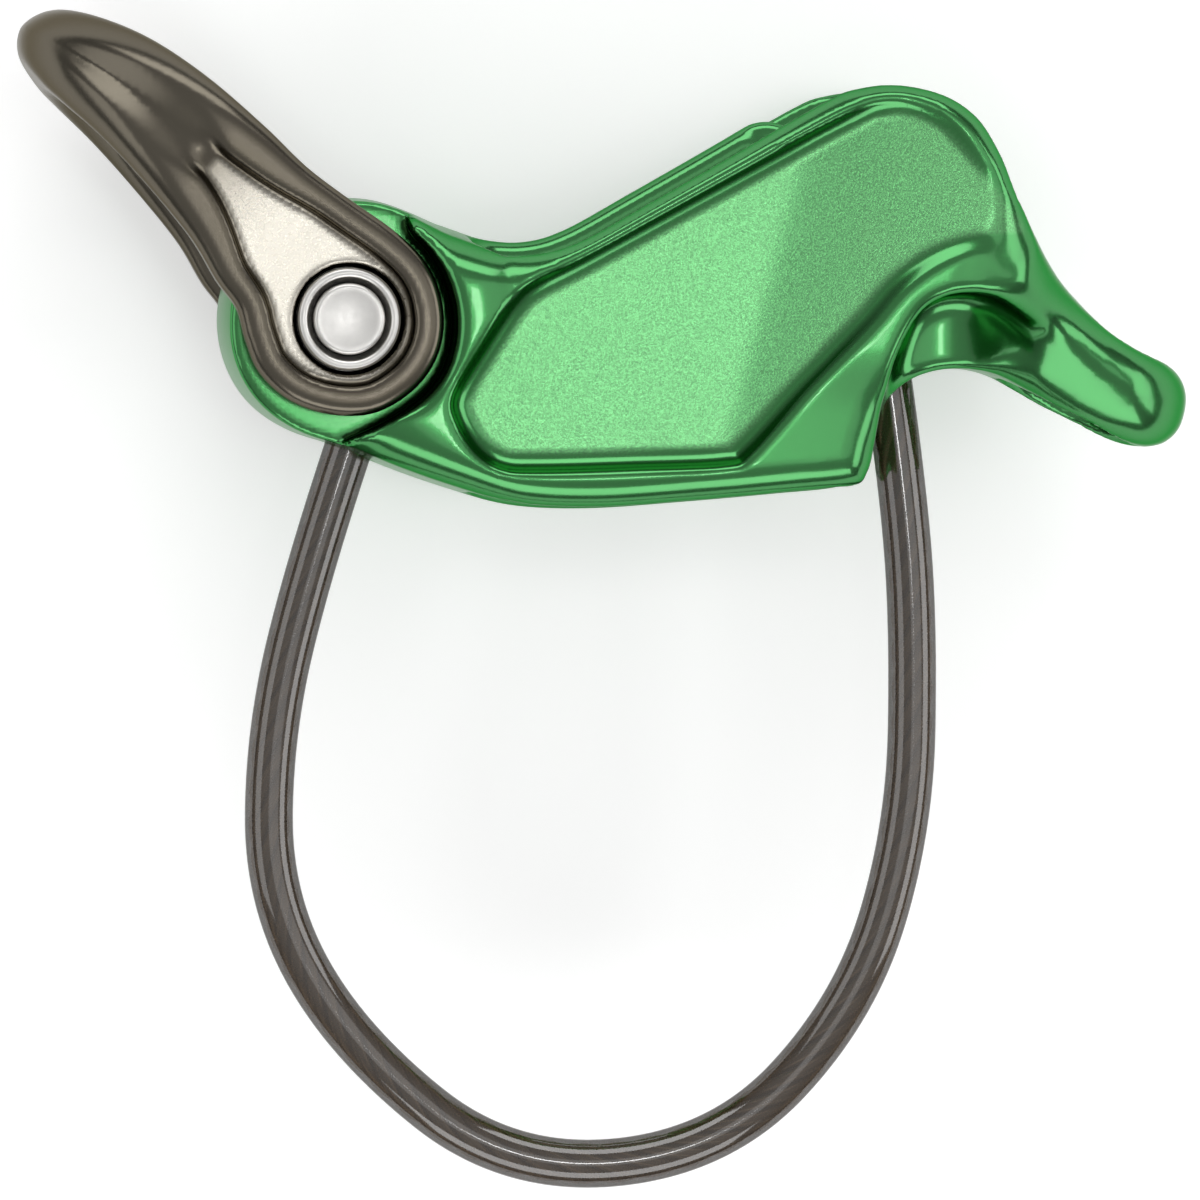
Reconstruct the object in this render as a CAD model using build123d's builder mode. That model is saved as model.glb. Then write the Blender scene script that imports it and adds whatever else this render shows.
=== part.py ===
# Two-slot belay device with a pivoting attachment link and a wire keeper loop.
# It lies on its side: Z is across the device, from one cheek to the other, and the far cheek rests at Z = 0.
# Every outline is measured from the pivot axis, in millimetres.
import os
from math import cos, pi, radians, sin, tan

from build123d import *

os.makedirs("parts", exist_ok=True)

# driving dimensions
body_width = 34.0  # outside of one cheek to the outside of the other
mid_z = body_width / 2
pivot_x, pivot_y = -21.83, -5.09  # pivot axis from the middle of the whole device
cheek_thickness = 2.9
divider_thickness = 3.4
pocket_depth = 1.3
slot_rear_x, slot_front_x = 10.8, 41.6  # both rope slots, from the pivot
slot_end_radius = 2.6

boss_radius = 10.0
boss_half_width = 11.8
link_seat_radius = 8.8  # clearance cut in each cheek round the link's eye
link_eye_radius = 7.8
link_half_width = 16.7
link_arm_thickness = 4.4
link_angle = 138.0  # direction of the link at rest, seen from +Z
link_length = 36.4
link_inner_length = 28.6
link_recess_depth = 1.6

axle_radius = 3.0
axle_clearance = 0.05
axle_half_length = 15.9
collar_radius = 4.2
collar_half_reach = 15.7
washer_radius = 6.0
washer_thickness = 0.4

eye_radius = 6.3
eye_x, eye_y = 60.4, -7.85  # centre of the release eye on the nose's underside
eye_slope = 23.0  # slope of the nose's underside
nose_half_width = 10.0
waist_half_width = 6.0

groove_half_width = 6.15
groove_slope = -15.0
groove_start_x, groove_start_y = 36.0, 8.5  # bottom of the vee channels, just inside the slots

cable_radius = 2.0
wire_radius = 1.4
ferrule_length = 4.6
mouth_depth = 1.4  # how far the sheath enters each socket


def side_plane(height):
    """Plane of the side outlines at a height, with its origin on the pivot axis."""
    return Plane(origin=(pivot_x, pivot_y, height), x_dir=(1, 0, 0), z_dir=(0, 0, 1))


# plan view of the body: X along the device, second axis across it from the middle plane
plan_plane = Plane(origin=(pivot_x, pivot_y, mid_z), x_dir=(1, 0, 0), z_dir=(0, -1, 0))
groove_plane = Plane(
    origin=(pivot_x + groove_start_x, pivot_y + groove_start_y, mid_z),
    x_dir=(0, 0, -1),
    z_dir=(cos(radians(groove_slope)), sin(radians(groove_slope)), 0),
)
link_direction = Vector(cos(radians(link_angle)), sin(radians(link_angle)), 0)
# plan view of the link: first axis from the pivot along the link, second axis across the device
link_plan = Plane(
    origin=(pivot_x, pivot_y, mid_z),
    x_dir=tuple(link_direction),
    z_dir=tuple(link_direction.cross(Vector(0, 0, 1))),
)
eye_axis = Vector(sin(radians(eye_slope)), cos(radians(eye_slope)), 0)
eye_plane = Plane(
    origin=(pivot_x + eye_x, pivot_y + eye_y, mid_z), x_dir=(0, 0, 1), z_dir=tuple(eye_axis)
)


def write(piece, name):
    piece.label = name
    export_step(piece, f"parts/{name}.step")


# body: silhouette of the forging, with every other face cut into it
boss_top = (boss_radius * cos(radians(62)), boss_radius * sin(radians(62)))
boss_bottom = (boss_radius * cos(radians(-102)), boss_radius * sin(radians(-102)))
hump_start = (38.4, 18.6)
nose_top = (67.4, -3.2)
nose_under = (66.6, -10.4)

with BuildPart() as body:
    with BuildSketch(side_plane(0)) as silhouette:
        with BuildLine():
            ThreePointArc(boss_bottom, (-boss_radius, 0), boss_top)
            neck = Spline(boss_top, (11.8, 6.6), (18.3, 7.2), tangents=[(0.88, -0.47), (0.87, 0.49)])
            Line(neck @ 1, hump_start)
            front = Spline(
                hump_start,
                (44.6, 20.0),
                (49.6, 18.9),
                (53.6, 14.9),
                (57.4, 6.6),
                (61.4, 1.3),
                nose_top,
                tangents=[(0.87, 0.49), (0.86, -0.5)],
            )
            ThreePointArc(front @ 1, (70.5, -7.2), nose_under)
            under = Spline(
                nose_under,
                (60.4, -8.3),
                (55.0, -5.3),
                (50.6, -4.0),
                (45.6, -5.4),
                (43.7, -7.4),
                tangents=[(-0.96, 0.28), (-0.35, -0.94)],
            )
            Polyline(under @ 1, (42.3, -13.0), (41.0, -14.0), (20.4, -15.5), (12.4, -15.1), (4.0, -11.8), boss_bottom)
        make_face()
    extrude(amount=body_width)

    # plan view: full width over the cheeks, drawn in towards the nose, round at its end
    with BuildSketch(plan_plane):
        with BuildLine():
            shoulder = Spline(
                (52.0, mid_z),
                (57.6, 14.4),
                (62.0, nose_half_width),
                tangents=[(1, -0.06), (0.96, -0.27)],
            )
            ThreePointArc(shoulder @ 1, (70.6, 0), (62.0, -nose_half_width))
            Spline(
                (62.0, -nose_half_width),
                (57.6, -14.4),
                (52.0, -mid_z),
                tangents=[(-0.96, -0.27), (-1, -0.06)],
            )
            Polyline((52.0, -mid_z), (-12, -mid_z), (-12, mid_z), (52.0, mid_z))
        make_face()
    extrude(amount=60, both=True, mode=Mode.INTERSECT)

    # rope slots, right through from top to bottom
    slot_length = slot_front_x - slot_rear_x
    slot_width = mid_z - cheek_thickness - divider_thickness / 2
    slot_z = (divider_thickness + slot_width) / 2
    with BuildSketch(plan_plane):
        for side in (1, -1):
            with Locations(((slot_rear_x + slot_front_x) / 2, side * slot_z)):
                RectangleRounded(slot_length, slot_width, slot_end_radius)
    extrude(amount=60, both=True, mode=Mode.SUBTRACT)

    # vee channels that take the braking rope from the slots down to the nose
    with BuildSketch(groove_plane):
        for side in (1, -1):
            middle = side * slot_z
            with BuildLine():
                Polyline(
                    (middle, 0),
                    (middle + groove_half_width, groove_half_width),
                    (middle + groove_half_width, 40),
                    (middle - groove_half_width, 40),
                    (middle - groove_half_width, groove_half_width),
                    (middle, 0),
                )
            make_face()
    extrude(amount=50, mode=Mode.SUBTRACT)

    # the divider stands lower than the cheeks where the channels start
    with BuildSketch(side_plane(cheek_thickness)):
        with BuildLine():
            Polyline((33, 17), (41, 14.6), (50, 11.8), (55, 10.8), (55, 30), (33, 30), (33, 17))
        make_face()
    extrude(amount=body_width - 2 * cheek_thickness, mode=Mode.SUBTRACT)

    # seats that let the link's arms turn beside the boss
    for bottom in (0, mid_z + boss_half_width):
        with BuildSketch(side_plane(bottom)):
            Circle(link_seat_radius)
            with BuildLine():
                Polyline((5.6, 6.6), (3.2, -8.2), (0.8, -9.8), (-12, -12), (-12, 12), (5.6, 12), (5.6, 6.6))
            make_face()
        extrude(amount=mid_z - boss_half_width, mode=Mode.SUBTRACT)

    # shallow pocket in the outside of each cheek
    for face_z, inward in ((0, 1), (body_width, -1)):
        with BuildSketch(side_plane(face_z)) as pocket:
            with BuildLine():
                Polyline(
                    (8.9, -7.0),
                    (12.2, -11.5),
                    (31.9, -11.5),
                    (46.6, 3.4),
                    (51.5, 4.9),
                    (55.2, 4.8),
                    (49.8, 16.9),
                    (43.6, 18.4),
                    (13.8, 1.8),
                    (8.9, -7.0),
                )
            make_face()
            fillet(pocket.vertices(), radius=2.0)
        extrude(amount=inward * pocket_depth, mode=Mode.SUBTRACT)

# scallops under the front, which leave a narrow waist between the cheeks and the nose
with BuildPart() as scallops:
    with BuildSketch(side_plane(-1)):
        with BuildLine():
            arch = Spline(
                (43.0, -7.0),
                (44.4, -3.6),
                (47.0, 1.0),
                (50.8, 2.2),
                (54.6, 1.0),
                (58.2, -2.4),
                (62.0, -6.0),
                tangents=[(0.2, 1), (0.8, -0.6)],
            )
            Polyline(arch @ 1, (62.0, -16), (43.0, -16), arch @ 0)
        make_face()
    extrude(amount=body_width + 2)
    with BuildSketch(plan_plane):
        for side in (1, -1):
            with BuildLine():
                waist = Spline(
                    (42.8, side * 14.2),
                    (45.0, side * 8.6),
                    (50.0, side * waist_half_width),
                    (55.4, side * 8.0),
                    (60.0, side * nose_half_width),
                    tangents=[(0.1, -side), (0.9, side * 0.35)],
                )
                Polyline(waist @ 1, (62.2, side * 20), (42.8, side * 20), waist @ 0)
            make_face()
    extrude(amount=60, both=True, mode=Mode.INTERSECT)

# keeper cable: corners of its route outside the body, and the two socket mouths that it runs between
route = [
    (-2.4, -19.9),
    (-5.8, -34.0),
    (-5.9, -48.0),
    (0.7, -59.8),
    (14.0, -70.5),
    (31.5, -69.0),
    (42.8, -57.0),
    (47.3, -42.0),
    (47.6, -26.0),
    (46.8, -14.4),
]
rear_mouth = Vector(0.7, -10.8, 0)
front_mouth = Vector(45.5, -5.2, 0)
rear_out = (Vector(*route[0]) - rear_mouth).normalized()
front_out = (Vector(*route[-1]) - front_mouth).normalized()
datum = Vector(pivot_x, pivot_y, mid_z)


def cable_plane(mouth, out, inward):
    """Plane across the cable, a distance inside the socket's mouth, facing out of the body."""
    return Plane(origin=tuple(datum + mouth - out * inward), x_dir=(0, 0, 1), z_dir=tuple(out))


with BuildPart() as finished_body:
    add(body.part)
    add(scallops.part, mode=Mode.SUBTRACT)
    with BuildSketch(side_plane(0)):
        Circle(axle_radius + axle_clearance)
    extrude(amount=body_width, mode=Mode.SUBTRACT)
    with BuildSketch(eye_plane):
        Circle(eye_radius)
    extrude(amount=14, both=True, mode=Mode.SUBTRACT)
    for mouth, out in ((rear_mouth, rear_out), (front_mouth, front_out)):
        with BuildSketch(cable_plane(mouth, out, ferrule_length + mouth_depth)):
            Circle(cable_radius)
        extrude(amount=ferrule_length + mouth_depth + 6, mode=Mode.SUBTRACT)
write(finished_body.part, "body")

# attachment link: side outline, hollowed and rounded in plan so that it becomes a U
eye_top = (link_eye_radius * cos(radians(38)), link_eye_radius * sin(radians(38)))
eye_back = (link_eye_radius * cos(radians(190)), link_eye_radius * sin(radians(190)))
link_low, link_high = mid_z - link_half_width, mid_z + link_half_width

with BuildPart() as pivot_link:
    with BuildSketch(side_plane(link_low)):
        with BuildLine():
            ThreePointArc(eye_back, (0.8, -link_eye_radius * 0.995), eye_top)
            upper = Spline(
                eye_top,
                (0.2, 9.5),
                (-7.0, 15.6),
                (-15.8, 22.7),
                (-23.4, 25.4),
                tangents=[(-0.62, 0.79), (-0.99, 0.1)],
            )
            tip = ThreePointArc(upper @ 1, (-26.6, 24.4), (-26.1, 21.6))
            Spline(
                tip @ 1,
                (-22.6, 17.6),
                (-16.6, 11.0),
                (-11.4, 4.2),
                eye_back,
                tangents=[(0.5, -0.86), (0.5, -0.86)],
            )
        make_face()
    extrude(amount=2 * link_half_width)
    with BuildSketch(link_plan):
        with BuildLine():
            Polyline((17, -link_half_width), (-12, -link_half_width), (-12, link_half_width), (17, link_half_width))
            EllipticalCenterArc((17, 0), link_length - 17 + 0.6, link_half_width, start_angle=-90, arc_size=180)
        make_face()
    extrude(amount=30, both=True, mode=Mode.INTERSECT)
    arm_inside = link_half_width - link_arm_thickness
    with BuildSketch(link_plan):
        with BuildLine():
            Polyline((17, -arm_inside), (-12, -arm_inside), (-12, arm_inside), (17, arm_inside))
            EllipticalCenterArc((17, 0), link_inner_length - 17, arm_inside, start_angle=-90, arc_size=180)
        make_face()
    extrude(amount=30, both=True, mode=Mode.SUBTRACT)
    for face_z, inward in ((link_low, 1), (link_high, -1)):
        with BuildSketch(side_plane(face_z)):
            with BuildLine():
                Polyline((4.4, 3.8), (-14.6, 16.4), (-5.8, -0.8), (4.4, 3.8))
            make_face()
            Circle(5.8)
        extrude(amount=inward * link_recess_depth, mode=Mode.SUBTRACT)
    with BuildSketch(side_plane(link_low)):
        Circle(collar_radius)
    extrude(amount=2 * link_half_width, mode=Mode.SUBTRACT)
write(pivot_link.part, "pivot_link")

# rivet, with the rings that its staked ends hold
with BuildPart() as pivot_axle:
    with BuildSketch(side_plane(mid_z)):
        Circle(axle_radius)
    extrude(amount=axle_half_length, both=True)
    chamfer(pivot_axle.edges().filter_by(GeomType.CIRCLE), length=0.3)
write(pivot_axle.part, "pivot_axle")

for name, side in (("axle_collar_near", 1), ("axle_collar_far", -1)):
    with BuildPart() as collar:
        with BuildSketch(side_plane(mid_z + side * arm_inside)):
            Circle(collar_radius)
            Circle(axle_radius, mode=Mode.SUBTRACT)
        extrude(amount=side * (collar_half_reach - arm_inside))
        outer_rim = collar.faces().sort_by(Axis.Z)[-1 if side > 0 else 0]
        groove_edge = outer_rim.edges().sort_by(SortBy.LENGTH)[0]
        chamfer(groove_edge, length=0.45)
    write(collar.part, name)

washer_gap = (arm_inside - boss_half_width - washer_thickness) / 2
for name, side in (("thrust_washer_near", 1), ("thrust_washer_far", -1)):
    with BuildPart() as washer:
        with BuildSketch(side_plane(mid_z + side * (boss_half_width + washer_gap))):
            Circle(washer_radius)
            Circle(axle_radius + axle_clearance, mode=Mode.SUBTRACT)
        extrude(amount=side * washer_thickness)
    write(washer.part, name)

# keeper cable: steel wire rope in a plastic sheath
inside_rear = rear_mouth - rear_out * mouth_depth
inside_front = front_mouth - front_out * mouth_depth
corners = [datum + inside_rear, *(datum + Vector(x, y, 0) for x, y in route), datum + inside_front]
runs = [b - a for a, b in zip(corners, corners[1:])]
turns = [before.get_angle(after) for before, after in zip(runs, runs[1:])]
bends = [
    0.45 * min(before.length, after.length) / tan(radians(turn) / 2)
    for before, after, turn in zip(runs, runs[1:], turns)
]
print("keeper runs", [round(run.length, 1) for run in runs])
print("keeper turns", [round(turn, 1) for turn in turns])
print("keeper bend radii", [round(bend, 1) for bend in bends])

with BuildPart() as keeper_wire:
    with BuildLine() as wire_path:
        FilletPolyline(*[tuple(corner) for corner in corners], radius=bends)
    with BuildSketch(Plane(origin=wire_path.line @ 0, z_dir=wire_path.line % 0)):
        Circle(wire_radius)
    sweep()
write(keeper_wire.part, "keeper_wire")

with BuildPart() as keeper_sheath:
    with BuildLine() as sheath_path:
        FilletPolyline(*[tuple(corner) for corner in corners], radius=bends)
    with BuildSketch(Plane(origin=sheath_path.line @ 0, z_dir=sheath_path.line % 0)):
        Circle(cable_radius)
        Circle(wire_radius, mode=Mode.SUBTRACT)
    sweep()
write(keeper_sheath.part, "keeper_sheath")

cable_length = sum(edge.length for edge in wire_path.edges())
print("keeper length", round(cable_length, 1))
print("wire volume over section times length", keeper_wire.part.volume / (pi * wire_radius**2 * cable_length))
sheath_section = pi * (cable_radius**2 - wire_radius**2)
print("sheath volume over section times length", keeper_sheath.part.volume / (sheath_section * cable_length))

for name, mouth, out in (
    ("keeper_ferrule_rear", rear_mouth, rear_out),
    ("keeper_ferrule_front", front_mouth, front_out),
):
    with BuildPart() as ferrule:
        with BuildSketch(cable_plane(mouth, out, mouth_depth)):
            Circle(cable_radius)
        extrude(amount=-ferrule_length)
    write(ferrule.part, name)
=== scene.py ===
import math

import bmesh
import bpy
import numpy as np
import openvdb
from mathutils import Matrix, Vector


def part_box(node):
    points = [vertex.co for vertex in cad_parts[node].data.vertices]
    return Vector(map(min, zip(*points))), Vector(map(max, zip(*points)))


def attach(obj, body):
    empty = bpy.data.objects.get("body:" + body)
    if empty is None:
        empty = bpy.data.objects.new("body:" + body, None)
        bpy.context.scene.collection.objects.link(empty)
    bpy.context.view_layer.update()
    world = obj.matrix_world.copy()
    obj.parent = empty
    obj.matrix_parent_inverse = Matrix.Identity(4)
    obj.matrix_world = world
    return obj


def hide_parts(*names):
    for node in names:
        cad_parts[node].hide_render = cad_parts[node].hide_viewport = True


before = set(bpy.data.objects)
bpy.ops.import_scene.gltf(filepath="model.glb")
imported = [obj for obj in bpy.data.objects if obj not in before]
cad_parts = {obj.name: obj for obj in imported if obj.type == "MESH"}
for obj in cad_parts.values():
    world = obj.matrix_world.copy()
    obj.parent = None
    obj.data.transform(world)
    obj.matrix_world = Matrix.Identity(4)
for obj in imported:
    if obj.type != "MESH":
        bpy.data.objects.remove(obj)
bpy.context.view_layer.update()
mm = 0.001

# everything is drawn from the rivet's axis, half way between the cheeks
axleLow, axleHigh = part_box("pivot_axle")
pivot = (axleLow + axleHigh) / 2
bodyLow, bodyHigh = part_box("body")
halfWidth = (bodyHigh.z - bodyLow.z) / 2 / mm


# shaping tools: distances in mm, negative inside the metal
def ramp(value, start, end):
    t = np.clip((value - start) / (end - start), 0, 1)
    return t * t * (3 - 2 * t)


def smoothOutline(points, steps=7):
    # closed curve through the points, as straight pieces short enough not to show
    p = np.array(points, float)
    before, after, later = np.roll(p, 1, 0), np.roll(p, -1, 0), np.roll(p, -2, 0)
    out = []
    for k in range(steps):
        t = k / steps
        out.append(
            0.5 * (2 * p + (after - before) * t + (2 * before - 5 * p + 4 * after - later) * t**2
                   + (3 * p - before - 3 * after + later) * t**3)
        )
    return np.stack(out, 1).reshape(-1, 2)


def outlineDistance(x, y, outline):
    x, y = np.broadcast_arrays(x, y)
    nearest = np.full(x.shape, 1e9)
    inside = np.zeros(x.shape, bool)
    for (ax, ay), (bx, by) in zip(outline, np.roll(outline, -1, 0)):
        ex, ey = bx - ax, by - ay
        px, py = x - ax, y - ay
        t = np.clip((px * ex + py * ey) / (ex * ex + ey * ey + 1e-12), 0, 1)
        nearest = np.minimum(nearest, (px - t * ex) ** 2 + (py - t * ey) ** 2)
        crosses = (ay > y) != (by > y)
        inside ^= crosses & (px * ey * np.sign(ey) < ex * py * np.sign(ey))
    return np.where(inside, -1, 1) * np.sqrt(nearest)


def roundedOverlap(a, b, radius):
    # what is inside both, its new edge rounded
    corner = np.hypot(np.maximum(a + radius, 0), np.maximum(b + radius, 0))
    return np.minimum(np.maximum(a, b), -radius) + corner


def roundedCut(solid, cutter, radius):
    return roundedOverlap(solid, -cutter, radius)


def blendedUnion(a, b, radius):
    corner = np.hypot(np.maximum(radius - a, 0), np.maximum(radius - b, 0))
    return np.maximum(np.minimum(a, b), radius) - corner


def rodDistance(x, y, w, start, end, radius):
    ax, ay = start
    ex, ey = end[0] - ax, end[1] - ay
    t = np.clip(((x - ax) * ex + (y - ay) * ey) / (ex * ex + ey * ey), 0, 1)
    return np.sqrt((x - ax - t * ex) ** 2 + (y - ay - t * ey) ** 2 + w**2) - radius


def castSolid(name, field, low, high, cell, settleSteps):
    # meshes the field on a grid, then settles every point on the true surface
    axes = [np.arange(low[k], high[k] + cell, cell) for k in range(3)]
    x, y, w = axes[0][:, None, None], axes[1][None, :, None], axes[2][None, None, :]
    values = np.broadcast_to(field(x, y, np.abs(w)), [len(a) for a in axes])
    grid = openvdb.FloatGrid(3.0)
    grid.copyFromArray(np.clip(values / cell, -3, 3).astype(np.float32))
    points, quads = grid.convertToQuads(isovalue=0.0)
    points = np.array(points, float) * cell + np.array(low)
    reach = 0.04
    for _ in range(settleSteps):
        px, py, pw = points.T
        here = field(px, py, np.abs(pw))
        slope = np.stack(
            [
                field(px + reach, py, np.abs(pw)) - here,
                field(px, py + reach, np.abs(pw)) - here,
                field(px, py, np.abs(pw + reach)) - here,
            ],
            1,
        ) / reach
        step = (here / np.maximum((slope**2).sum(1), 0.2))[:, None] * slope
        points -= np.clip(step, -0.5 * cell, 0.5 * cell)
    mesh = bpy.data.meshes.new(name)
    mesh.from_pydata((points * mm + np.array(pivot)).tolist(), [], [q[::-1] for q in quads.tolist()])
    mesh.update()
    mesh.shade_smooth()
    obj = bpy.data.objects.new(name, mesh)
    bpy.context.scene.collection.objects.link(obj)
    # outward faces, whatever order the grid gave them
    bm = bmesh.new()
    bm.from_mesh(mesh)
    if bm.calc_volume(signed=True) < 0:
        bmesh.ops.reverse_faces(bm, faces=bm.faces)
        bm.to_mesh(mesh)
    bm.free()
    print("cast", name, len(mesh.polygons), "faces")
    return obj, points


def paintPoints(obj, name, values):
    layer = obj.data.attributes.new(name, "FLOAT", "POINT")
    layer.data.foreach_set("value", np.asarray(values, np.float32))


settle = 2

# forged body: x along the device, y up the cheeks and w out from the middle plane, in mm from the rivet
body = {
    "bossRadius": 10.0,
    "rimRound": 2.5,
    "noseRound": 0.3,  # more rounding, towards the nose
    "silhouette": smoothOutline([
        (-2.5, 8.4), (1.5, 9.4), (5.0, 8.8), (8.6, 7.6), (11.8, 6.6), (15.2, 6.4), (18.6, 7.4),
        (24.0, 10.4), (31.0, 14.4), (38.2, 18.6), (41.4, 19.8), (45.0, 20.1), (49.0, 19.2),
        (52.0, 17.2), (54.0, 14.2), (55.4, 11.0), (57.3, 6.7), (59.3, 3.4), (62.0, 0.6), (65.4, -2.0),
        (68.4, -3.7), (70.1, -5.4), (70.5, -7.2), (69.6, -9.2), (67.6, -10.4), (65.0, -10.3),
        (60.4, -8.5), (56.5, -6.0), (53.5, -4.5), (50.1, -4.1), (46.8, -5.0), (44.4, -7.2),
        (43.3, -10.0), (42.6, -12.5), (41.3, -13.8), (36.0, -14.4), (28.0, -15.1), (20.4, -15.6),
        (14.0, -15.3), (8.5, -13.8), (3.0, -11.8), (-1.0, -9.8), (-5.0, -7.0), (-6.5, 0), (-5.0, 6.0),
    ]),
    # seen from above: x along the device, then half its width
    "plan": smoothOutline([
        (-14, 0), (-14, 17), (-10, 17), (20, 17), (46, 17), (49.5, 16.95), (52.2, 16.7), (54.8, 16.0),
        (57.2, 14.7), (59.4, 13.0), (61.6, 11.3), (63.6, 10.2), (65.7, 9.4), (67.8, 8.2), (70.0, 6.3),
        (72.0, 3.6), (73.0, 0), (72.0, -4.0), (60, -8), (20, -8), (-14, -8),
    ]),
    # half the width where the cheeks draw in to the nose
    "taperAlong": [46, 49.5, 52.2, 54.8, 57.2, 59.4, 61.6, 63.6],
    "taperHalf": [17, 16.9, 16.6, 15.9, 14.6, 12.9, 11.2, 10],
    # how far the cheeks fall away from flat
    "neckDip": 0.8,
    "webCurve": 0.07,
    "frontFall": 0.035,
    "heelDip": 0.9,
    "noseCurve": 0.02,
    "pocket": smoothOutline([
        (8.5, -6.0), (8.6, -8.2), (10.2, -10.8), (12.4, -12.2), (15.5, -12.4), (23.0, -12.2),
        (30.6, -11.9), (32.6, -11.0), (37.6, -5.6), (42.6, -0.5), (45.4, 2.6), (48.7, 4.7), (52.4, 5.6),
        (56.0, 5.6), (57.0, 7.0), (54.9, 10.0), (52.3, 13.4), (49.2, 16.6), (46.4, 18.0), (43.6, 18.1),
        (40.6, 16.9), (30.0, 11.2), (19.0, 5.2), (15.0, 3.1), (13.2, 1.5), (11.0, -1.8),
    ]),
    "pocketDepth": 1.8,
    "pocketRise": 0.073,  # slope of the pocket's front half
    "pocketCorner": 1.7,
    "seat": smoothOutline([
        (4.6, 14.0), (4.8, 10.0), (5.1, 7.4), (6.6, 5.6), (7.9, 3.3), (8.6, 0.6), (8.5, -2.0),
        (7.7, -4.4), (6.1, -6.4), (3.6, -8.2), (0.2, -9.8), (-4.0, -11.2), (-14, -13), (-14, 14),
    ]),
    "bossHalfWidth": 11.8,
    "arch": smoothOutline([
        (43.0, -8.0), (43.7, -5.6), (44.5, -3.2), (45.6, -0.9), (46.9, 0.9), (48.7, 1.9), (50.8, 2.2),
        (52.8, 1.9), (54.5, 1.0), (56.3, -0.4), (58.6, -2.4), (61.6, -5.0), (64.5, -8.5), (64.5, -14),
        (60, -20), (50, -20), (43.0, -20), (42.6, -14),
    ]),
    "waist": smoothOutline([
        (42.4, 20), (42.5, 16.5), (42.8, 13.2), (43.4, 10.4), (44.6, 7.9), (46.5, 6.5), (49.0, 6.1),
        (51.6, 6.5), (54.2, 7.8), (56.6, 9.1), (58.8, 9.9), (61.0, 10.15), (64.0, 10.2), (67.5, 12.6),
        (68.5, 17), (66.5, 24), (52, 24), (43.5, 24),
    ]),
    "scallopCorner": 2.2,
    "slotMiddle": (26.2, 7.9),
    "slotHalf": (15.4, 6.2),
    "slotCorner": 2.6,
    "slotRound": 1.2,
    "veeStart": (36, 8.5),
    "veeUp": (0.259, 0.966),  # square to the channels' run
    "cheek": 2.9,
    "halfDivider": 1.75,
    "dividerFront": (33, 17.2),
    "dividerUp": (0.3, 0.95),
    "dividerReach": 14.1,
    "eyeMiddle": (60.4, -7.85),
    "eyeAcross": (0.9205, -0.3907),  # square to the eye's axis
    "eyeRadius": 6.3,
    "rivetBore": 3.1,
    "cableBore": 2.1,
    "boreReach": 5,
    # where the cable comes out, and its direction there
    "rearMouth": ((0.7, -10.8), (-0.3, -0.95)),
    "frontMouth": ((45.5, -5.2), (0.13, -0.99)),
}


def alongNose(x, y):
    # x, turned to the nose's own slope in front of the pockets
    return x - 0.5 * (y - 3) * ramp(x, 44, 52) * (1 - ramp(x, 57, 66))


def cheekDip(x, y, along):
    # behind the seat, round the web, at the lower front and heel, and both ways from the nose's crest
    web = np.clip(np.hypot(x, y) - 10.6, 0, 3) * (1 - ramp(x, 12.5, 17)) * ramp(y, -9, -4)
    dip = body["neckDip"] * ramp(y, 2.8, 7.5) * np.exp(-(((x - 8.0) / 6.0) ** 2)) + body["webCurve"] * web**2
    dip = dip + body["frontFall"] * np.maximum(x - 33, 0) * ramp(-y, 2, 8)
    dip = dip + body["heelDip"] * ramp(-0.8 * y - 0.6 * x, 3, 9)
    crest = np.clip(0.327 * (x - 59.9) + 0.945 * (y + 4.5), -6, 6)
    return dip + body["noseCurve"] * crest**2 * ramp(along, 54, 61)


def forging(x, y, w, along, half):
    # the blank: side view and plan, with crowned and rounded rims
    side = blendedUnion(np.hypot(x, y) - body["bossRadius"], outlineDistance(x, y, body["silhouette"]), 1.0)
    underNose = ramp(-y - 0.57 * (x - 56), -3, 1)
    edge = np.minimum(w / half, 1.15)
    rimCrown = (0.3 + 1.0 * ramp(y, -8, 2)) * edge**2.2
    noseCrown = (0.3 + 0.9 * underNose) * ramp(x, 52, 60) * edge**4
    plan = outlineDistance(along, w, body["plan"]) + cheekDip(x, y, along)
    rimRound = body["rimRound"] + body["noseRound"] * ramp(along, 50, 58)
    return roundedOverlap(side + (rimCrown + noseCrown), plan, rimRound)


def linkSeat(x, y, w):
    # the link's arms turn beside the boss
    return roundedOverlap(outlineDistance(x, y, body["seat"]), body["bossHalfWidth"] - w, 0.5)


def ropeSlot(x, w):
    slotX = np.abs(x - body["slotMiddle"][0]) - body["slotHalf"][0] + body["slotCorner"]
    slotW = np.abs(w - body["slotMiddle"][1]) - body["slotHalf"][1] + body["slotCorner"]
    corner = np.hypot(np.maximum(slotX, 0), np.maximum(slotW, 0))
    return np.minimum(np.maximum(slotX, slotW), 0) + corner - body["slotCorner"]


def veeChannel(x, y, w, half):
    # from the slots to the nose
    (startX, startY), (upX, upY) = body["veeStart"], body["veeUp"]
    height = upX * (x - startX) + upY * (y - startY)
    lip = half - body["cheek"]
    middle, spread = (lip + body["halfDivider"]) / 2, (lip - body["halfDivider"]) / 2
    sides = 0.707 * (np.sqrt((w - middle) ** 2 + 0.6) - height)
    return np.maximum(sides, np.abs(w - middle) - spread)


def dividerStep(x, y, w):
    # the divider stands lower at the front
    (frontX, frontY), (upX, upY) = body["dividerFront"], body["dividerUp"]
    lowTop = upX * (x - frontX) + upY * (y - frontY)
    return np.maximum(np.maximum(-lowTop, frontX - x), w - body["dividerReach"])


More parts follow.
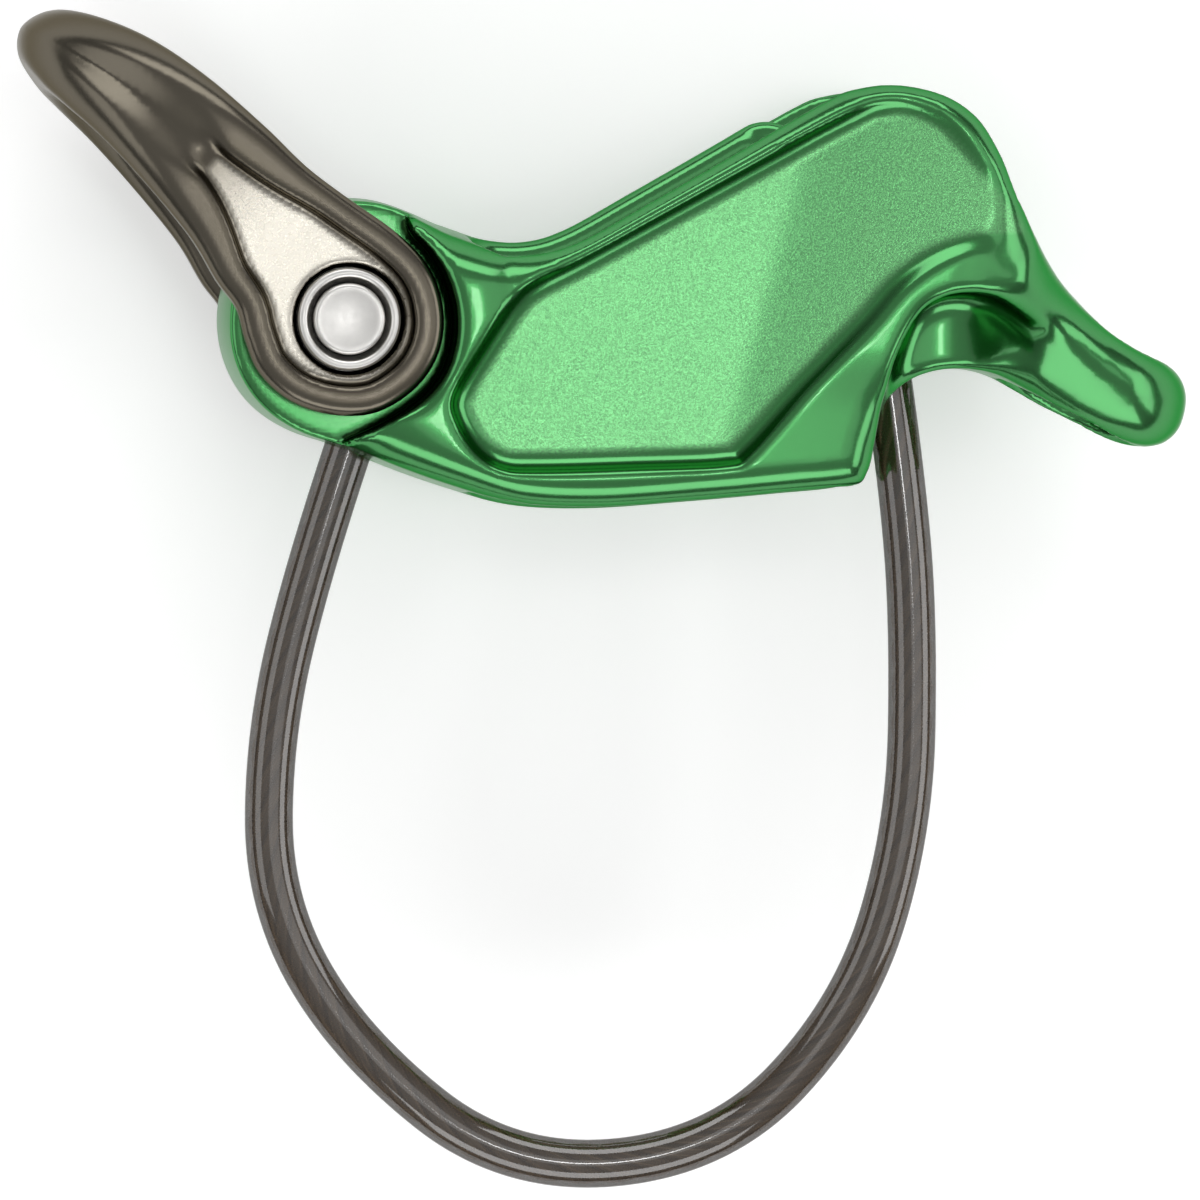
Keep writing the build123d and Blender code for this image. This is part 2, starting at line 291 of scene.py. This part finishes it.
def releaseEye(x, y, w):
    # square to the nose's underside
    (eyeX, eyeY), (acrossX, acrossY) = body["eyeMiddle"], body["eyeAcross"]
    across = acrossX * (x - eyeX) + acrossY * (y - eyeY)
    return np.hypot(across, w) - body["eyeRadius"]


def pocketFloor(x, y):
    # flat behind a soft crease, then rising towards the nose
    beyond = 0.965 * (x - 33.5) - 0.262 * (y - 0.75)
    rise = body["pocketRise"] * 0.5 * (beyond + np.sqrt(beyond**2 + 1.2))
    return halfWidth - body["pocketDepth"] + rise


def bodyField(x, y, w):
    along = alongNose(x, y)
    half = np.interp(along, body["taperAlong"], body["taperHalf"])
    solid = forging(x, y, w, along, half)
    solid = roundedCut(solid, linkSeat(x, y, w), 0.4 + 0.7 * ramp(w, 12.2, 15) * ramp(x, 3.0, 6.5))
    solid = roundedCut(solid, ropeSlot(x, w), body["slotRound"])
    solid = roundedCut(solid, veeChannel(x, y, w, half), 0.9)
    solid = roundedCut(solid, dividerStep(x, y, w), 1.0)
    # scallops that leave the waist
    arch, waist = outlineDistance(x, y, body["arch"]), outlineDistance(x, w, body["waist"])
    scallop = roundedOverlap(arch, waist, body["scallopCorner"])
    solid = roundedCut(solid, scallop, 0.9 + 2.2 * ramp(x, 52, 57))
    solid = roundedCut(solid, releaseEye(x, y, w), 0.6)
    pocket = outlineDistance(x, y, body["pocket"])
    pocket = roundedOverlap(pocket, pocketFloor(x, y) - w, body["pocketCorner"])
    solid = roundedCut(solid, pocket, 0.6 + 2.4 * ramp(along, 49.5, 54))
    # bores for the rivet and the cable
    solid = roundedCut(solid, np.hypot(x, y) - body["rivetBore"], 0.3)
    reach = body["boreReach"]
    for (mx, my), (dx, dy) in (body["rearMouth"], body["frontMouth"]):
        inside, outside = (mx - reach * dx, my - reach * dy), (mx + reach * dx, my + reach * dy)
        solid = roundedCut(solid, rodDistance(x, y, w, inside, outside, body["cableBore"]), 0.5)
    return solid


bodyPiece, bodyPoints = castSolid("forged_body", bodyField, (-11.5, -17, -18), (72, 21.5, 18), 0.4, settle)
px, py, pw = bodyPoints.T
inPocket = -outlineDistance(px, py, body["pocket"])
paintPoints(bodyPiece, "blasted", ramp(inPocket, 1.2, 1.5) * ramp(np.abs(pw), 14.9, 15.2))

# attachment link: u runs from the rivet along the link
link = {
    "angle": 138.0,
    "reach": 36.9,
    "armHalfWidth": 16.7,
    "innerHalfWidth": 12.3,
    "innerReach": 28.6,
    "ellipseStart": 17.0,
    "flange": 2.4,
    "flangeGrowth": 1.4,  # wider towards the bow
    "recessDepth": 1.6,
    "fluteDepth": 0.3,
    "boreRadius": 4.25,
    "boreFlare": 0.3,
    "side": smoothOutline([
        (7.7, -0.6), (7.3, 2.4), (6.0, 4.9), (3.6, 7.2), (0.2, 9.6), (-3.4, 12.3), (-7.0, 15.8),
        (-11.7, 19.9), (-16.4, 23.1), (-21.2, 25.1), (-24.6, 25.5), (-26.7, 24.3), (-26.5, 21.9),
        (-24.8, 19.4), (-23.1, 17.7), (-20.0, 14.8), (-16.5, 11.0), (-12.9, 6.6), (-10.8, 3.1),
        (-9.2, 0.9), (-8.5, -1.6), (-7.3, -4.4), (-4.7, -6.7), (-1.2, -7.8), (2.2, -7.6), (5.2, -5.8),
        (7.0, -3.4),
    ]),
}


def alongLink(x, y):
    turn = math.radians(link["angle"])
    return x * math.cos(turn) + y * math.sin(turn)


def flangeWidth(u):
    return link["flange"] + link["flangeGrowth"] * ramp(u, 7, 17)


def bowDistance(u, w, start, reach, half):
    # straight arms that end in half an ellipse
    squeeze = half / (reach - start)
    bent = np.hypot(np.maximum(u - start, 0) * squeeze, w)
    lean = np.maximum(u - start, 0) * squeeze / np.maximum(bent, 1e-6)
    return (bent - half) / np.where(u > start, np.sqrt(1 + (squeeze * squeeze - 1) * lean**2), 1)


def linkField(x, y, w):
    u = alongLink(x, y)
    side = outlineDistance(x, y, link["side"])
    outer = bowDistance(u, w, link["ellipseStart"], link["reach"], link["armHalfWidth"])
    inner = bowDistance(u, w, link["ellipseStart"], link["innerReach"], link["innerHalfWidth"])
    outerRound, innerRound = 1.1 + 1.9 * ramp(u, 8, 30), 0.9 + 1.9 * ramp(u, 8, 28)
    solid = roundedOverlap(roundedOverlap(side, outer, outerRound), -inner, innerRound)
    # recess round the rivet, which runs out into a shallow flute
    toFlute = ramp(u, 16.5, 19.5)
    depth = (link["recessDepth"] - 0.035 * u) * (1 - toFlute)
    depth = depth + link["fluteDepth"] * toFlute * (1 - ramp(u, 22, 34))
    recess = roundedOverlap(side + flangeWidth(u), -outer - depth, 0.7 + 1.3 * ramp(u, 17, 22))
    solid = roundedCut(solid, recess, 0.5 + 2.0 * ramp(u, 16, 22))
    bore = np.hypot(x, y) - link["boreRadius"] - link["boreFlare"] * ramp(w, 13.6, 14.0)
    return roundedCut(solid, bore, 0.2)


linkPiece, linkPoints = castSolid("turning_link", linkField, (-28, -9, -17.5), (9, 27, 17.5), 0.35, settle)
px, py, pw = linkPoints.T
u = alongLink(px, py)
inFlange = -outlineDistance(px, py, link["side"]) - flangeWidth(u)
inArm = -bowDistance(u, np.abs(pw), link["ellipseStart"], link["reach"], link["armHalfWidth"])
bright = ramp(inFlange, 0.35, 0.8) * ramp(inArm, 0.9, 1.3) * (1 - ramp(inArm, 1.9, 2.2))
paintPoints(linkPiece, "bareFloor", bright * (1 - ramp(u, 16.0, 17.4)))


# rivet and rings, turned profiles
def turnProfile(name, profile, side, segments=96):
    # profile: (radius, height from the middle plane) pairs in mm, closed
    bm = bmesh.new()
    rings = []
    for radius, height in profile:
        rings.append([
            bm.verts.new((
                pivot.x + radius * mm * math.cos(2 * math.pi * k / segments),
                pivot.y + radius * mm * math.sin(2 * math.pi * k / segments),
                pivot.z + side * height * mm,
            ))
            for k in range(segments)
        ])
    for ringA, ringB in zip(rings, rings[1:] + rings[:1]):
        for k in range(segments):
            bm.faces.new((ringA[k], ringA[(k + 1) % segments], ringB[(k + 1) % segments], ringB[k]))
    bmesh.ops.remove_doubles(bm, verts=bm.verts, dist=1e-6)
    bmesh.ops.recalc_face_normals(bm, faces=bm.faces)
    mesh = bpy.data.meshes.new(name)
    bm.to_mesh(mesh)
    bm.free()
    mesh.shade_smooth()
    obj = bpy.data.objects.new(name, mesh)
    bpy.context.scene.collection.objects.link(obj)
    return obj


rivetHead = [
    (0.0, 15.62), (0.8, 15.64), (1.6, 15.7), (2.2, 15.79), (2.5, 15.83), (2.68, 15.83), (2.82, 15.76),
    (2.9, 15.6), (2.93, 15.2), (2.95, 14.0),
]
rivetProfile = rivetHead + [(r, -h) for r, h in reversed(rivetHead)] + [(0.0, 0.0)]
rivetPiece = turnProfile("rivet", rivetProfile, 1)
ringProfile = [
    (3.02, 12.35), (3.02, 14.6), (3.36, 15.25), (3.42, 15.5), (3.52, 15.62), (3.75, 15.66), (3.98, 15.62),
    (4.1, 15.52), (4.17, 15.36), (4.2, 15.1), (4.2, 12.35),
]
ringNear = turnProfile("ring_near", ringProfile, 1)
ringFar = turnProfile("ring_far", ringProfile, -1)
print("turned the rivet and its rings")

# keeper cable, in metres
cable = {
    "radius": 0.0020,
    "strandRadius": 0.00056,
    "strandCircle": 0.00112,
    "strands": 6,
    "strandSides": 10,
    "stations": 420,
    "lay": 0.0180,
    "length": 0.1559,
    # from the rivet's axis, in the middle plane, out of the rear socket and round to the front one
    "route": [
        (0.0011, -0.0095), (-0.0024, -0.0199), (-0.0058, -0.0340), (-0.0059, -0.0480), (0.0007, -0.0598),
        (0.0140, -0.0705), (0.0315, -0.0690), (0.0428, -0.0570), (0.0473, -0.0420), (0.0476, -0.0260),
        (0.0468, -0.0144), (0.0453, -0.0038),
    ],
}


def routeCurve(name, bevel):
    curve = bpy.data.curves.new(name, "CURVE")
    curve.dimensions = "3D"
    line = curve.splines.new("NURBS")
    line.points.add(len(cable["route"]) - 1)
    for point, (x, y) in zip(line.points, cable["route"]):
        point.co = (pivot.x + x, pivot.y + y, pivot.z, 1)
    line.order_u = 3
    line.use_endpoint_u = True
    line.resolution_u = 24
    curve.bevel_depth = bevel
    curve.bevel_resolution = 10
    curve.use_fill_caps = bevel > 0
    obj = bpy.data.objects.new(name, curve)
    bpy.context.scene.collection.objects.link(obj)
    return obj


sheathPiece = routeCurve("keeper_sheath_tube", cable["radius"])
guide = routeCurve("keeper_guide", 0)
guideMesh = bpy.data.meshes.new_from_object(guide)
centre = np.array([v.co[:] for v in guideMesh.vertices])
bpy.data.meshes.remove(guideMesh)
bpy.data.objects.remove(guide)
stretch = np.r_[0, np.cumsum(np.linalg.norm(np.diff(centre, axis=0), axis=1))]
cableLength = stretch[-1]
print("keeper cable", round(cableLength * 1000, 1), "mm")


def layStrands():
    # strands laid round a straight core, following the cable's own line
    stations, sides = cable["stations"], cable["strandSides"]
    s = np.linspace(0, cableLength, stations)
    line = np.stack([np.interp(s, stretch, centre[:, k]) for k in range(3)], 1)
    ahead = np.gradient(line, axis=0)
    ahead /= np.linalg.norm(ahead, axis=1)[:, None]
    up = np.array([0.0, 0.0, 1.0])
    out = np.cross(ahead, up)
    verts, faces = [], []
    for strand in range(cable["strands"] + 1):
        circle = cable["strandCircle"] if strand else 0.0
        around = 2 * math.pi * (strand / cable["strands"] - s / cable["lay"])
        middle = line + circle * (np.cos(around)[:, None] * out + np.sin(around)[:, None] * up)
        first = len(verts)
        for k in range(stations):
            for j in range(sides):
                a = around[k] + 2 * math.pi * j / sides
                verts.append(middle[k] + cable["strandRadius"] * (math.cos(a) * out[k] + math.sin(a) * up))
        for k in range(stations - 1):
            for j in range(sides):
                a, b = first + k * sides + j, first + k * sides + (j + 1) % sides
                faces.append((a, b, b + sides, a + sides))
        faces.append([first + j for j in reversed(range(sides))])
        faces.append([first + (stations - 1) * sides + j for j in range(sides)])
    mesh = bpy.data.meshes.new("keeper_strands")
    mesh.from_pydata([tuple(v) for v in verts], [], faces)
    mesh.shade_smooth()
    obj = bpy.data.objects.new("keeper_strands", mesh)
    bpy.context.scene.collection.objects.link(obj)
    return obj


strandsPiece = layStrands()


# shader tools
def newGroup(name, inputs, outputs):
    group = bpy.data.node_groups.new(name, "ShaderNodeTree")
    for label, kind, value in inputs:
        socket = group.interface.new_socket(name=label, in_out="INPUT", socket_type=kind)
        if value is not None:
            socket.default_value = value
    for label, kind in outputs:
        group.interface.new_socket(name=label, in_out="OUTPUT", socket_type=kind)
    return group, group.nodes.new("NodeGroupInput"), group.nodes.new("NodeGroupOutput")


def buildForgedGrain():
    # fine peel of a tumbled and anodised surface, with broad soft clouds in its tone
    group, start, end = newGroup(
        "forgedGrain",
        [("Coordinates", "NodeSocketVector", None), ("Grain Scale", "NodeSocketFloat", 3000.0),
         ("Cloud Scale", "NodeSocketFloat", 60.0), ("Cloud Amount", "NodeSocketFloat", 0.1),
         ("Speckle", "NodeSocketFloat", 0.0)],
        [("Height", "NodeSocketFloat"), ("Tone", "NodeSocketFloat")],
    )
    nodes, join = group.nodes, group.links.new
    grain = nodes.new("ShaderNodeTexNoise")
    grain.inputs["Detail"].default_value = 3.0
    join(start.outputs["Coordinates"], grain.inputs["Vector"])
    join(start.outputs["Grain Scale"], grain.inputs["Scale"])
    join(grain.outputs["Fac"], end.inputs["Height"])
    cloud = nodes.new("ShaderNodeTexNoise")
    cloud.inputs["Detail"].default_value = 4.0
    join(start.outputs["Coordinates"], cloud.inputs["Vector"])
    join(start.outputs["Cloud Scale"], cloud.inputs["Scale"])
    centred = nodes.new("ShaderNodeMath")
    centred.operation = "SUBTRACT"
    centred.inputs[1].default_value = 0.5
    join(cloud.outputs["Fac"], centred.inputs[0])
    tone = nodes.new("ShaderNodeMath")
    tone.operation = "MULTIPLY_ADD"
    join(centred.outputs[0], tone.inputs[0])
    join(start.outputs["Cloud Amount"], tone.inputs[1])
    tone.inputs[2].default_value = 1.0
    # the grain's own light and dark dots, as strong as the speckle asks
    dot = nodes.new("ShaderNodeMath")
    dot.operation = "SUBTRACT"
    dot.inputs[1].default_value = 0.5
    join(grain.outputs["Fac"], dot.inputs[0])
    dots = nodes.new("ShaderNodeMath")
    dots.operation = "MULTIPLY_ADD"
    join(dot.outputs[0], dots.inputs[0])
    join(start.outputs["Speckle"], dots.inputs[1])
    join(tone.outputs[0], dots.inputs[2])
    join(dots.outputs[0], end.inputs["Tone"])
    return group


forgedGrain = buildForgedGrain()


def startMaterial(name):
    material = bpy.data.materials.new(name)
    material.use_nodes = True
    nodes, join = material.node_tree.nodes, material.node_tree.links.new
    shader = nodes["Principled BSDF"]
    place = nodes.new("ShaderNodeTexCoord")
    return material, nodes, join, shader, place.outputs["Object"]


def addGrain(nodes, join, place, grainScale, cloudScale, cloudAmount):
    grain = nodes.new("ShaderNodeGroup")
    grain.node_tree = forgedGrain
    join(place, grain.inputs["Coordinates"])
    grain.inputs["Grain Scale"].default_value = grainScale
    grain.inputs["Cloud Scale"].default_value = cloudScale
    grain.inputs["Cloud Amount"].default_value = cloudAmount
    return grain


def feed(join, source, socket):
    # a socket takes a plain value or another node's output
    if isinstance(source, bpy.types.NodeSocket):
        join(source, socket)
    else:
        socket.default_value = source


def mixValue(nodes, join, factor, low, high):
    mix = nodes.new("ShaderNodeMix")
    mix.data_type = "FLOAT"
    join(factor, mix.inputs["Factor"])
    mix.inputs["A"].default_value = low
    mix.inputs["B"].default_value = high
    return mix.outputs["Result"]


def mixColour(nodes, join, factor, first, second):
    mix = nodes.new("ShaderNodeMix")
    mix.data_type = "RGBA"
    join(factor, mix.inputs["Factor"])
    mix.inputs["A"].default_value = (*first, 1)
    mix.inputs["B"].default_value = (*second, 1)
    return mix.outputs["Result"]


def tintBy(nodes, join, colour, tone):
    # one colour, lightened and darkened by a tone near 1
    scale = nodes.new("ShaderNodeVectorMath")
    scale.operation = "SCALE"
    feed(join, colour, scale.inputs[0])
    join(tone, scale.inputs["Scale"])
    return scale.outputs["Vector"]


def facingGloss(nodes, join, weight):
    # full gloss facing the eye, none at the edges
    facing = nodes.new("ShaderNodeLayerWeight")
    facing.inputs["Blend"].default_value = 0.5
    gloss = nodes.new("ShaderNodeMapRange")
    join(facing.outputs["Facing"], gloss.inputs["Value"])
    gloss.inputs["From Min"].default_value = 0.25
    gloss.inputs["From Max"].default_value = 0.7
    gloss.inputs["To Min"].default_value = weight
    gloss.inputs["To Max"].default_value = 0.0
    return gloss.outputs["Result"]


def unevenGloss(nodes, join, grain, shader, base, spread):
    # roughness follows the grain's height
    rough = nodes.new("ShaderNodeMath")
    rough.operation = "MULTIPLY_ADD"
    join(grain.outputs["Height"], rough.inputs[0])
    rough.inputs[1].default_value = spread
    feed(join, base, rough.inputs[2])
    join(rough.outputs[0], shader.inputs["Roughness"])


def raiseGrain(nodes, join, grain, shader, depth, strength):
    bump = nodes.new("ShaderNodeBump")
    bump.inputs["Distance"].default_value = depth
    feed(join, strength, bump.inputs["Strength"])
    join(grain.outputs["Height"], bump.inputs["Height"])
    join(bump.outputs["Normal"], shader.inputs["Normal"])


def paintedMask(nodes, name):
    mask = nodes.new("ShaderNodeAttribute")
    mask.attribute_name = name
    return mask.outputs["Fac"]


def greenAnodised():
    # pairs are for the smooth metal, then the blasted pocket
    look = {
        "green": (0.050, 0.245, 0.070),
        "blastedGreen": (0.090, 0.300, 0.108),
        "edgeTint": (0.40, 0.62, 0.42, 1),
        "grain": (6600, 70, 0.16),
        "speckle": (0.15, 1.3),
        "roughness": (0.165, 0.175),
        "roughnessSpread": 0.08,
        "grainDepth": 0.000008,
        "grainStrength": (0.16, 1.0),
        "filmWeight": 0.45,
        "filmRoughness": (0.07, 0.2),
        "filmIor": 1.55,
    }
    material, nodes, join, shader, place = startMaterial("green anodised")
    grain = addGrain(nodes, join, place, *look["grain"])
    mask = paintedMask(nodes, "blasted")
    join(mixValue(nodes, join, mask, *look["speckle"]), grain.inputs["Speckle"])
    colour = mixColour(nodes, join, mask, look["green"], look["blastedGreen"])
    join(tintBy(nodes, join, colour, grain.outputs["Tone"]), shader.inputs["Base Color"])
    rough = mixValue(nodes, join, mask, *look["roughness"])
    unevenGloss(nodes, join, grain, shader, rough, look["roughnessSpread"])
    strength = mixValue(nodes, join, mask, *look["grainStrength"])
    raiseGrain(nodes, join, grain, shader, look["grainDepth"], strength)
    shader.inputs["Metallic"].default_value = 1.0
    shader.inputs["Specular Tint"].default_value = look["edgeTint"]
    # sealed film over the dye
    join(facingGloss(nodes, join, look["filmWeight"]), shader.inputs["Coat Weight"])
    join(mixValue(nodes, join, mask, *look["filmRoughness"]), shader.inputs["Coat Roughness"])
    shader.inputs["Coat IOR"].default_value = look["filmIor"]
    return material


def gunmetalAnodised():
    # pairs are for the dyed metal, then the bare floor of the recess
    look = {
        "gunmetal": (0.125, 0.112, 0.088),
        "bare": (0.62, 0.59, 0.52),
        "edgeTint": (0.5, 0.48, 0.44, 1),
        "grain": (5600, 90, 0.14),
        "roughness": (0.20, 0.24),
        "roughnessSpread": 0.08,
        "grainDepth": 0.000005,
        "grainStrength": (0.35, 1.0),
    }
    material, nodes, join, shader, place = startMaterial("gunmetal anodised")
    grain = addGrain(nodes, join, place, *look["grain"])
    mask = paintedMask(nodes, "bareFloor")
    colour = mixColour(nodes, join, mask, look["gunmetal"], look["bare"])
    join(tintBy(nodes, join, colour, grain.outputs["Tone"]), shader.inputs["Base Color"])
    rough = mixValue(nodes, join, mask, *look["roughness"])
    unevenGloss(nodes, join, grain, shader, rough, look["roughnessSpread"])
    strength = mixValue(nodes, join, mask, *look["grainStrength"])
    raiseGrain(nodes, join, grain, shader, look["grainDepth"], strength)
    shader.inputs["Metallic"].default_value = 1.0
    shader.inputs["Specular Tint"].default_value = look["edgeTint"]
    return material


def plainFinish(name, look):
    # one colour, with the grain in its tone, gloss and relief
    material, nodes, join, shader, place = startMaterial(name)
    grain = addGrain(nodes, join, place, *look["grain"])
    join(tintBy(nodes, join, look["colour"], grain.outputs["Tone"]), shader.inputs["Base Color"])
    unevenGloss(nodes, join, grain, shader, look["roughness"], look["roughnessSpread"])
    raiseGrain(nodes, join, grain, shader, look["grainDepth"], look["grainStrength"])
    return material, nodes, join, shader


def brightSteel():
    look = {
        "colour": (0.74, 0.73, 0.705),
        "grain": (2600, 900, 0.22),
        "roughness": 0.22,
        "roughnessSpread": 0.25,
        "grainDepth": 0.000004,
        "grainStrength": 0.2,
    }
    material, nodes, join, shader = plainFinish("bright steel", look)
    shader.inputs["Metallic"].default_value = 1.0
    return material


def drawnWire():
    look = {
        "colour": (0.34, 0.235, 0.145),
        "grain": (3200, 500, 0.5),
        "roughness": 0.16,
        "roughnessSpread": 0.25,
        "grainDepth": 0.00002,
        "grainStrength": 0.3,
    }
    material, nodes, join, shader = plainFinish("drawn wire", look)
    shader.inputs["Metallic"].default_value = 1.0
    return material


def smokeSheath():
    look = {
        "colour": (0.030, 0.019, 0.010),
        "grain": (1500, 220, 0.4),
        "roughness": 0.06,
        "roughnessSpread": 0.08,
        "grainDepth": 0.00003,
        "grainStrength": 0.3,
        "skinWeight": 1.0,
        "skinRoughness": 0.07,
        "skinIor": 2.1,
        "innerGloss": 0.1,
        "alpha": 0.76,
    }
    material, nodes, join, shader = plainFinish("smoke sheath", look)
    join(facingGloss(nodes, join, look["skinWeight"]), shader.inputs["Coat Weight"])
    shader.inputs["Coat Roughness"].default_value = look["skinRoughness"]
    shader.inputs["Coat IOR"].default_value = look["skinIor"]
    shader.inputs["Specular IOR Level"].default_value = look["innerGloss"]
    shader.inputs["Alpha"].default_value = look["alpha"]
    return material


finishes = {
    "green": greenAnodised(),
    "gunmetal": gunmetalAnodised(),
    "steel": brightSteel(),
    "wire": drawnWire(),
    "sheath": smokeSheath(),
}
print("mixed", len(finishes), "finishes")


def finishPiece(obj, finish, slotName, bodyName, *nodes):
    obj.data.materials.clear()
    obj.data.materials.append(finishes[finish])
    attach(obj, bodyName)
    if nodes:
        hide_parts(*nodes)


finishPiece(bodyPiece, "green", "green_anodised", "chassis", "body")
finishPiece(linkPiece, "gunmetal", "gunmetal_anodised", "link", "pivot_link")
finishPiece(rivetPiece, "steel", "bright_steel", "link", "pivot_axle")
finishPiece(ringNear, "steel", "bright_steel", "link", "axle_collar_near")
finishPiece(ringFar, "steel", "bright_steel", "link", "axle_collar_far")
finishPiece(sheathPiece, "sheath", "smoke_sheath", "chassis", "keeper_sheath")
finishPiece(strandsPiece, "wire", "wire_rope", "chassis", "keeper_wire")
for node, finish in (
    ("thrust_washer_near", "steel"),
    ("thrust_washer_far", "steel"),
    ("keeper_ferrule_rear", "wire"),
    ("keeper_ferrule_front", "wire"),
):
    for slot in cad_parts[node].material_slots:
        slot.material = finishes[finish]

print("pieces ride on their bodies")

# floor, light and camera
floorMesh = bpy.data.meshes.new("floor")
floorMesh.from_pydata([(-3, -3, 0), (3, -3, 0), (3, 3, 0), (-3, 3, 0)], [], [(0, 1, 2, 3)])
floor = bpy.data.objects.new("floor", floorMesh)
bpy.context.scene.collection.objects.link(floor)
floorMaterial, nodes, join, shader, place = startMaterial("white table")
floorGrain = addGrain(nodes, join, place, 400, 3, 0.01)
join(tintBy(nodes, join, (0.93, 0.93, 0.93), floorGrain.outputs["Tone"]), shader.inputs["Base Color"])
shader.inputs["Roughness"].default_value = 0.9
shader.inputs["Specular IOR Level"].default_value = 0.1
shader.inputs["Emission Color"].default_value = (1, 1, 1, 1)
shader.inputs["Emission Strength"].default_value = 0.3
floorMesh.materials.append(floorMaterial)


def softbox(name, place, width, height, brightness):
    # brightness is what a mirror would show of it, against 1 for the table
    light = bpy.data.lights.new(name, "AREA")
    light.shape = "RECTANGLE"
    light.size, light.size_y = width, height
    light.energy = brightness * math.pi * width * height
    obj = bpy.data.objects.new(name, light)
    obj.location = place
    obj.rotation_euler = (-Vector(place)).to_track_quat("-Z", "Y").to_euler()
    bpy.context.scene.collection.objects.link(obj)


softbox("overhead", (0.30, 0.05, 1.0), 0.5, 0.9, 0.6)
softbox("key", (0.075, -0.01, 1.03), 0.06, 0.08, 10.5)
softbox("left bank", (-0.85, 0.10, 0.55), 0.9, 0.5, 1.1)
softbox("back bank", (0.0, 0.95, 0.55), 1.2, 0.5, 2.4)
softbox("front bank", (0.0, -0.95, 0.6), 1.2, 0.5, 2.2)
softbox("right bank", (0.95, 0.0, 0.5), 0.9, 0.5, 2.0)

# room: dim near the horizon, paler overhead
world = bpy.data.worlds.new("studio")
world.use_nodes = True
nodes, join = world.node_tree.nodes, world.node_tree.links.new
where = nodes.new("ShaderNodeTexCoord")
split = nodes.new("ShaderNodeSeparateXYZ")
join(where.outputs["Generated"], split.inputs["Vector"])
shade = nodes.new("ShaderNodeValToRGB")
shade.color_ramp.elements[0].position, shade.color_ramp.elements[0].color = 0.0, (0.15, 0.15, 0.15, 1)
shade.color_ramp.elements[1].position, shade.color_ramp.elements[1].color = 0.95, (0.55, 0.55, 0.55, 1)
join(split.outputs["Z"], shade.inputs["Fac"])
join(shade.outputs["Color"], nodes["Background"].inputs["Color"])
bpy.context.scene.world = world
bpy.context.scene.view_settings.view_transform = "Standard"

view = {
    "target": Vector((-0.00152, -0.02793, 0.034)),
    "back": Vector((-0.0737, 0.0203, 1.0)),
    "distance": 1.0,
    "lens": 369.0,
}
back = view["back"].normalized()
right = Vector((0, 1, 0)).cross(back).normalized()
up = back.cross(right)
cameraData = bpy.data.cameras.new("camera")
cameraData.lens = view["lens"]
cameraData.sensor_width = 36.0
cameraData.clip_start = 0.05
camera = bpy.data.objects.new("camera", cameraData)
standing = Matrix.Translation(view["target"] + back * view["distance"])
camera.matrix_world = standing @ Matrix((right, up, back)).transposed().to_4x4()
bpy.context.scene.collection.objects.link(camera)
bpy.context.scene.camera = camera
print("lit and framed")
